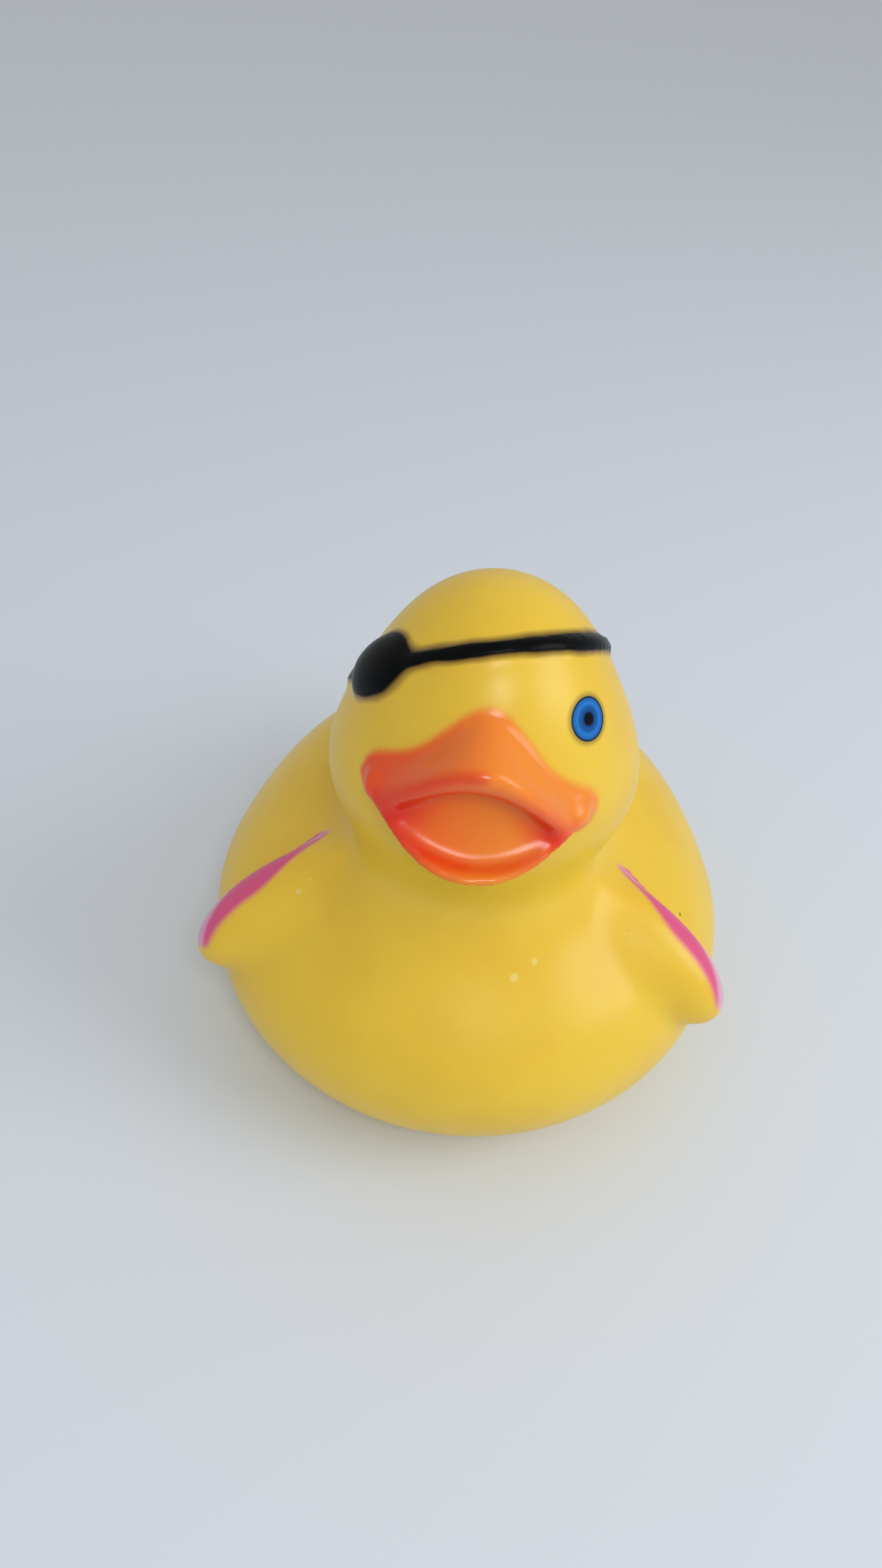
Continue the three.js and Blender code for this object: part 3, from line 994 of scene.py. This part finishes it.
def with_wing_paint(tree, colour):
    # Pink paint, with a painted reflection in paler pink towards the tips
    pink = mixed(tree, layer_node(tree, "wing_painted_sheen"), rgb(PINK), rgb(PINK_PAINTED_SHEEN))
    return mixed(tree, soft_step(tree, layer_node(tree, "wing_paint"), *WING_PAINT_EDGE), colour, pink)


def with_marks(tree, colour, point):
    torn = wandering(tree, noise_node(tree, point, MARK_GRAIN, 4), MARK_ROUGHNESS)
    for marks, code, strength in (
        (PALE_SCUFFS, SCUFF, SCUFF_STRENGTH),
        (DARK_SPECKS, SPECK, SPECK_STRENGTH),
    ):
        for centre, radius in marks:
            off_mark = math_node(tree, "MULTIPLY_ADD", torn, radius, distance_node(tree, point, centre))
            on_mark = soft_step(tree, off_mark, radius, MARK_CORE * radius)
            colour = mixed(tree, math_node(tree, "MULTIPLY", on_mark, strength), colour, rgb(code))
    return colour


def with_bill_paint(tree, colour, point, bill_share):
    # Redder paint and painted shade: the orange turns red-orange towards the duck's right, away from the
    # lamp
    light_side = soft_step(tree, across_node(tree, point), *BILL_PAINTED_SHADE_EDGE)
    orange = mixed(tree, light_side, rgb(BILL_PAINTED_SHADE), rgb(BILL_ORANGE))
    orange = mixed(tree, layer_node(tree, "red_shade_paint"), orange, rgb(BILL_GROOVE_SHADE_RED))
    return mixed(tree, bill_share, colour, orange)


def eye_radius_node(tree, point):
    """0 in the middle of the eye, 1 on its edge, and more than that on the far side of the head."""
    radius = oval_radius(tree, point, EYE_CENTRE, EYE_SIDE, EYE_UP)
    beyond = math_node(tree, "SUBTRACT", distance_node(tree, point, EYE_CENTRE), EYE_REACH)
    return math_node(tree, "MAXIMUM", radius, beyond)


def with_eye(tree, colour, radius, eye_share):
    rings = node(tree, "ShaderNodeValToRGB", {"Fac": math_node(tree, "MULTIPLY", radius, EYE_LAST_RING)})
    ramp = rings.color_ramp
    ramp.interpolation = "EASE"
    while len(ramp.elements) < len(EYE_RINGS):
        ramp.elements.new(0.5)
    for element, (at, code) in zip(ramp.elements, EYE_RINGS):
        element.position = at
        element.color = rgb(code)
    halo = math_node(tree, "MULTIPLY", soft_step(tree, radius, HALO_REACH, 1.0), HALO_STRENGTH)
    colour = mixed(tree, halo, colour, rgb(HALO))
    return mixed(tree, eye_share, colour, rings.outputs["Color"])


def off_strap_node(tree, point):
    """How far a point lies off the strap. The paint spreads a little towards the duck's left."""
    from_strap = vector_node(tree, "SUBTRACT", point, strap_centre)[0]
    off_middle = math_node(tree, "ABSOLUTE", dot_node(tree, from_strap, strap_normal))
    to_left = math_node(tree, "MAXIMUM", across_node(tree, point), 0.0)
    half_width = math_node(tree, "MULTIPLY_ADD", to_left, STRAP_SPREAD, STRAP_WIDTH / 2)
    return math_node(tree, "SUBTRACT", off_middle, half_width)


def off_patch_node(tree, point):
    """How far a point lies off the patch."""
    half_side = patch_side * PATCH_SIZE[0] / 2
    half_up = patch_up * PATCH_SIZE[2] / 2
    radius = oval_radius(tree, point, patch_spot, half_side, half_up)
    off_edge = math_node(tree, "SUBTRACT", radius, PATCH_PAINT_SHARE)
    off_edge = math_node(tree, "MULTIPLY", off_edge, PATCH_SIZE[2] / 2)
    beyond = math_node(tree, "SUBTRACT", distance_node(tree, point, patch_spot), PATCH_SIZE[0])
    return math_node(tree, "MAXIMUM", off_edge, beyond)


def off_black_node(tree, point):
    """How far a point lies off the black paint, which wanders a little and stays on the head."""
    off_strap = off_strap_node(tree, point)
    off_black = math_node(tree, "SMOOTH_MIN", off_strap, off_patch_node(tree, point), BLACK_FILLET)
    off_head = math_node(tree, "SUBTRACT", distance_node(tree, point, CROWN_CENTRE), BLACK_REACH)
    off_black = math_node(tree, "MAXIMUM", off_black, off_head)
    wander = wandering(tree, noise_node(tree, point, WANDER_SCALE, 1), BLACK_WANDER)
    return math_node(tree, "ADD", off_black, wander)


def with_black_paint(tree, colour, off_black, black_share):
    fringe = math_node(tree, "MULTIPLY", soft_step(tree, off_black, *FRINGE), FRINGE_STRENGTH)
    colour = mixed(tree, fringe, colour, rgb(BLACK_FRINGE))
    return mixed(tree, black_share, colour, rgb(BLACK))


def skin_material():
    material, shader = new_material("painted_vinyl")
    tree = material.node_tree
    place = node(tree, "ShaderNodeTexCoord").outputs["Object"]
    point = node(tree, "ShaderNodeVectorMath", {0: place, "Scale": 1 / MM}, operation="SCALE").outputs[0]

    bill_share = soft_step(tree, layer_node(tree, "bill_paint"), *BILL_PAINT_EDGE)
    eye_radius = eye_radius_node(tree, point)
    eye_share = soft_step(tree, eye_radius, *EYE_EDGE)
    off_black = off_black_node(tree, point)
    black_share = soft_step(tree, off_black, BLACK_EDGE, -BLACK_EDGE)
    colour = mottled(tree, point, CLOUD_SCALE, YELLOW, YELLOW_CLOUD)
    colour = with_wing_paint(tree, colour)
    colour = with_marks(tree, colour, point)
    colour = with_bill_paint(tree, colour, point, bill_share)
    colour = with_eye(tree, colour, eye_radius, eye_share)
    colour = with_black_paint(tree, colour, off_black, black_share)
    tree.links.new(colour, shader.inputs["Base Color"])

    black_gloss = math_node(tree, "MULTIPLY", black_share, BLACK_GLOSS_SHARE)
    gloss = math_node(tree, "MULTIPLY", math_node(tree, "MAXIMUM", bill_share, black_gloss), GLOSS)
    tree.links.new(math_node(tree, "SUBTRACT", ROUGHNESS, gloss), shader.inputs["Roughness"])
    dark_share = math_node(tree, "MAXIMUM", black_share, eye_share)
    loss = math_node(tree, "MULTIPLY", dark_share, DARK_SPECULAR_LOSS)
    tree.links.new(math_node(tree, "SUBTRACT", SPECULAR, loss), shader.inputs["Specular IOR Level"])
    grain = noise_node(tree, point, GRAIN_SCALE, 3)
    bump = node(tree, "ShaderNodeBump", {"Height": grain, "Strength": 0.06, "Distance": GRAIN_DEPTH * MM})
    tree.links.new(bump.outputs["Normal"], shader.inputs["Normal"])
    shader.inputs["IOR"].default_value = 1.48
    shader.inputs["Subsurface Weight"].default_value = 0.35
    shader.inputs["Subsurface Radius"].default_value = (1.0, 0.5, 0.2)
    shader.inputs["Subsurface Scale"].default_value = 0.002
    return material


def plug_material():
    material, shader = new_material("plug_vinyl")
    tree = material.node_tree
    place = node(tree, "ShaderNodeTexCoord").outputs["Object"]
    colour = mottled(tree, place, PLUG_CLOUD_SCALE / MM, PLUG, PLUG_CLOUD)
    tree.links.new(colour, shader.inputs["Base Color"])
    shader.inputs["Roughness"].default_value = 0.5
    return material


def table_material():
    material, shader = new_material("pale_table")
    shader.inputs["Base Color"].default_value = rgb(TABLE)
    shader.inputs["Roughness"].default_value = 0.4
    return material


dress(skin, skin_material())
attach(skin, "root")
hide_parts("duck_body")
dress(frame["nodes"]["squeaker"], plug_material())

# Floor
deselect()
bpy.ops.mesh.primitive_plane_add(size=FLOOR_SIZE)
floor = bpy.context.object
floor.name = "floor"
dress(floor, table_material())

# Light


def lamp(name, place, size, watts):
    data = bpy.data.lights.new(name, "AREA")
    data.shape = "DISK"
    data.size = size
    data.energy = watts
    light = bpy.data.objects.new(name, data)
    light.location = place
    light.rotation_euler = Vector(place).to_track_quat("Z", "Y").to_euler()
    bpy.context.scene.collection.objects.link(light)


lamp("window", **WINDOW)
lamp("ceiling", **CEILING)
world = bpy.data.worlds.new("studio")
world.use_nodes = True
world.node_tree.nodes["Background"].inputs["Color"].default_value = rgb(SKY)
world.node_tree.nodes["Background"].inputs["Strength"].default_value = SKY_STRENGTH
bpy.context.scene.world = world
bpy.context.scene.view_settings.view_transform = "Standard"
